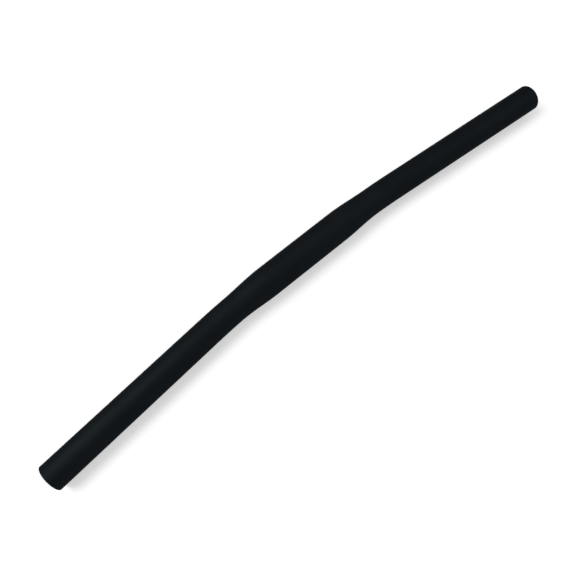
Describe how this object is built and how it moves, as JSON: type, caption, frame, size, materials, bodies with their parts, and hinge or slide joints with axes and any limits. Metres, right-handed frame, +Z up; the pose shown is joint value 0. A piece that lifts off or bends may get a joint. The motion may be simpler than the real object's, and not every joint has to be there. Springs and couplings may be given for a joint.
{
  "type": "mountain bike handlebar",
  "caption": "Black swept-back handlebar of butted aluminium tube, thickest at the stem clamp and tapering to slimmer straight grip ends.",
  "frame": {"origin": "centre of the clamp section, on the tube's axis", "axes": "+X along the clamp section to the rider's right, +Y forwards, so that the arms sweep back towards -Y, and +Z up, square to the plane that the bar is bent in"},
  "size_m": [0.4918, 0.0391, 0.0254],
  "materials": {
    "black_aluminium": "black anodised, satin"
  },
  "bodies": {
    "root": {"handlebar": "black_aluminium"}
  },
  "joints": []
}
